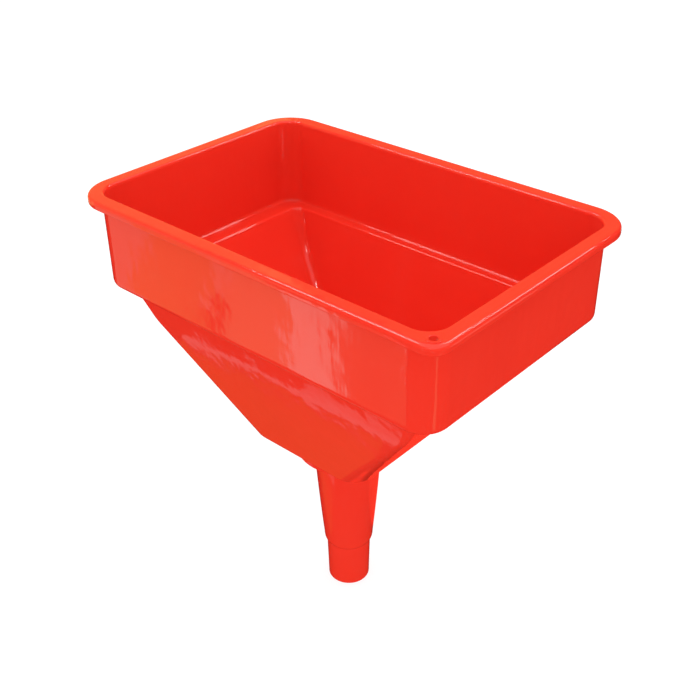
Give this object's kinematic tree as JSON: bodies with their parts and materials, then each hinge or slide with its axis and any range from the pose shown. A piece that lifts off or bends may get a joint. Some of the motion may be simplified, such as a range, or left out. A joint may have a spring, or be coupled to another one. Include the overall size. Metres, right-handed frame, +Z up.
{
  "type": "funnel",
  "caption": "Rectangular filling funnel: deep tray with a turned-down rim, sloping hopper, round stepped spout, and a lift-out gauze strainer with a folding bail.",
  "frame": {"origin": "on the spout's axis, level with the foot of the shoulder above the narrow tip, where the funnel sits in a filler neck", "axes": "+X along the long side of the tray towards the end with the hanging hole, +Y towards the side away from the hole, +Z up along the spout's axis to the open tray"},
  "size_m": [0.375, 0.2536, 0.3925],
  "materials": {
    "red_plastic": "glossy moulded red polyethylene",
    "brass_sheet": "pressed brass sheet, lightly dulled",
    "brass_gauze": "fine woven brass wire cloth",
    "steel_wire": "drawn bright steel wire"
  },
  "bodies": {
    "funnel": {"hopper_body": "red_plastic", "outlet_spout": "red_plastic"},
    "strainer": {"strainer_frame": "brass_sheet", "strainer_gauze": "brass_gauze", "strainer_retaining_ring": "brass_sheet", "bail_eye_right": "brass_sheet", "bail_eye_left": "brass_sheet"},
    "bail": {"strainer_bail": "steel_wire"}
  },
  "joints": [
    {"name": "strainer_lift", "type": "slide", "parent": "funnel", "child": "strainer", "axis": [0, 0, 1], "range_m": [0, 0.26]},
    {"name": "bail_fold", "type": "hinge", "parent": "strainer", "child": "bail", "pos_m": [0, 0, 0.1233], "axis": [1, 0, 0], "range_deg": [0, 180]}
  ]
}
